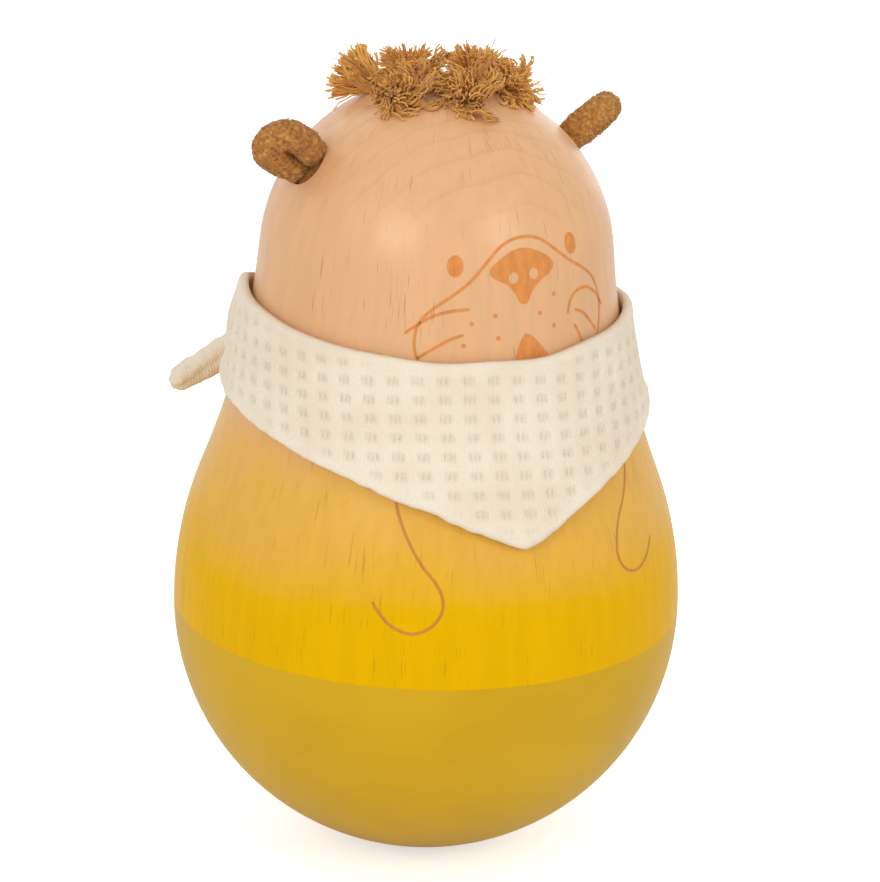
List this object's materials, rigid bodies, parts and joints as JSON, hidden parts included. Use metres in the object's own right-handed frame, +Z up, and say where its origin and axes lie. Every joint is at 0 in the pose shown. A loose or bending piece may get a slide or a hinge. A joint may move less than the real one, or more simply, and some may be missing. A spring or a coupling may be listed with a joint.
{
  "type": "roly poly toy",
  "caption": "Wooden roly poly toy: a turned animal figure on a weighted round base, with cord ears, frayed cord hair and a cotton bandana round its neck.",
  "frame": {"origin": "centre of the small flat under the base, on the table", "axes": "+Z up along the turning axis, the face looks towards -Y, +X is the toy's own left"},
  "size_m": [0.09, 0.0954, 0.1438],
  "materials": {
    "ochre_lacquer": "opaque satin ochre lacquer on turned beech",
    "beech": "clear satin lacquer on turned beech, stained yellow towards the seam",
    "ballast_steel": "plain turned steel",
    "zinc_steel": "zinc plated",
    "brown_cord": "soft brown cotton cord",
    "cream_cotton": "cream waffle cotton"
  },
  "bodies": {
    "toy": {"base_bowl": "ochre_lacquer", "upper_body": "beech", "ballast_weight": "ballast_steel", "ballast_washer": "zinc_steel", "ballast_screw": "zinc_steel", "ear_cord_left": "brown_cord", "ear_cord_right": "brown_cord", "hair_tuft_1": "brown_cord", "hair_tuft_2": "brown_cord", "hair_tuft_3": "brown_cord", "hair_tuft_4": "brown_cord", "hair_tuft_5": "brown_cord", "hair_tuft_6": "brown_cord"},
    "bandana": {"bandana_cloth": "cream_cotton", "bandana_knot": "cream_cotton", "bandana_tail_left": "cream_cotton", "bandana_tail_right": "cream_cotton"}
  },
  "joints": [
    {"name": "bandana_turn", "type": "hinge", "parent": "toy", "child": "bandana", "pos_m": [0, 0, 0.09], "axis": [0, 0, 1], "continuous": true}
  ]
}
